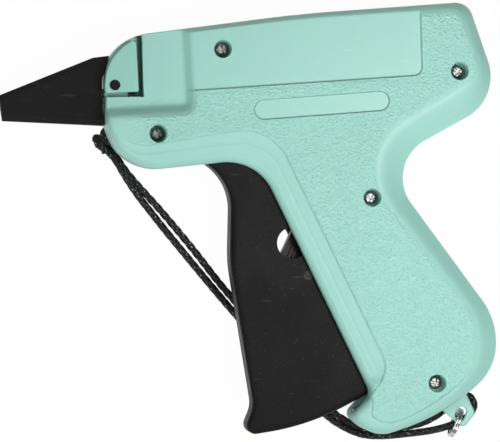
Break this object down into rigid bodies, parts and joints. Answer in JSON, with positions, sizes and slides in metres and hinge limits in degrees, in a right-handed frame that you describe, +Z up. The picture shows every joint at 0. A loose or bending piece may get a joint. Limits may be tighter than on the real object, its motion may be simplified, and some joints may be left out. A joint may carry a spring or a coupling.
{
  "type": "garment tag attacher",
  "caption": "Hand tool that pushes plastic tag pins through cloth: grip casing, trigger, capped needle and wrist cord.",
  "frame": {"origin": "centre of the tool's bounding box in plan, wrist cord and its ring left out, on the surface it lies on", "axes": "+X from the needle cap to the back of the handle, +Y from the heel to the top of the barrel, +Z up through the tool's thickness, from its right side to its left"},
  "size_m": [0.166, 0.1473, 0.028],
  "materials": {
    "shell": "pebble-grained and smooth mint-green ABS",
    "quarter": "smooth mint-green ABS",
    "trigger": "satin black ABS",
    "cap": "satin black polypropylene",
    "lever": "white acetal",
    "drive": "satin black acetal",
    "inner": "natural acetal",
    "black_pin": "satin black",
    "screw": "zinc-plated steel",
    "pin": "ground steel",
    "needle": "stainless steel",
    "ring": "nickel-plated steel",
    "cord": "black braided nylon"
  },
  "bodies": {
    "casing": {"left_shell": "shell", "nose_block": "shell", "right_shell": "shell", "case_screws": "screw", "lever_pin": "pin", "return_spring": "pin", "push_rod_guide": "inner", "needle": "needle", "needle_base": "inner", "knife_blade": "needle", "feed_track": "inner", "feed_wheel_pin": "pin", "feed_pawl_pin": "pin", "lock_lever_pin": "black_pin", "split_ring": "ring", "wrist_cord": "cord", "wrist_cord_knot": "cord"},
    "trigger": {"trigger": "trigger", "link_pin": "pin"},
    "drive_lever": {"drive_lever": "drive"},
    "slider": {"slider": "lever", "slider_pin": "pin", "push_rod": "needle"},
    "feed_wheel": {"feed_wheel": "inner"},
    "feed_pawl": {"feed_pawl": "inner"},
    "lock_lever": {"lock_lever": "quarter"},
    "needle_cap": {"needle_cap": "cap"}
  },
  "joints": [
    {"name": "trigger_squeeze", "type": "hinge", "parent": "casing", "child": "trigger", "pos_m": [-0.0092, 0.0562, 0.014], "axis": [0, 0, 1], "range_deg": [0, 12], "stiffness_Nm_per_rad": 1.2, "springref_deg": -14.32},
    {"name": "drive_lever_turn", "type": "hinge", "parent": "casing", "child": "drive_lever", "pos_m": [0.02822, -0.00142, 0.014], "axis": [0, 0, 1], "range_deg": [0, 50.05]},
    {"name": "slider_stroke", "type": "slide", "parent": "casing", "child": "slider", "axis": [-0.9976, -0.0698, 0], "range_m": [0, 0.04305], "deforming": ["return_spring"]},
    {"name": "feed_wheel_turn", "type": "hinge", "parent": "casing", "child": "feed_wheel", "pos_m": [-0.0317, 0.0495, 0.014], "axis": [0, 0, 1], "range_deg": [0, 45.05]},
    {"name": "feed_pawl_turn", "type": "hinge", "parent": "casing", "child": "feed_pawl", "pos_m": [-0.0242, 0.0542, 0.014], "axis": [0, 0, 1], "range_deg": [-6.05, 0]},
    {"name": "lock_lever_turn", "type": "hinge", "parent": "casing", "child": "lock_lever", "pos_m": [-0.0449, 0.0442, 0.0229], "axis": [0, 0, 1], "range_deg": [0, 90]},
    {"name": "needle_cap_pull", "type": "slide", "parent": "casing", "child": "needle_cap", "axis": [-0.9976, -0.0698, 0], "range_m": [0, 0.04]}
  ],
  "couplings": [
    {"joint": "drive_lever_turn", "follows": "trigger_squeeze", "ratio": 4.1667},
    {"joint": "slider_stroke", "follows": "trigger_squeeze", "m_per_rad": 0.20531},
    {"joint": "feed_wheel_turn", "follows": "trigger_squeeze", "ratio": 3.75},
    {"joint": "feed_pawl_turn", "follows": "trigger_squeeze", "ratio": -0.5}
  ]
}
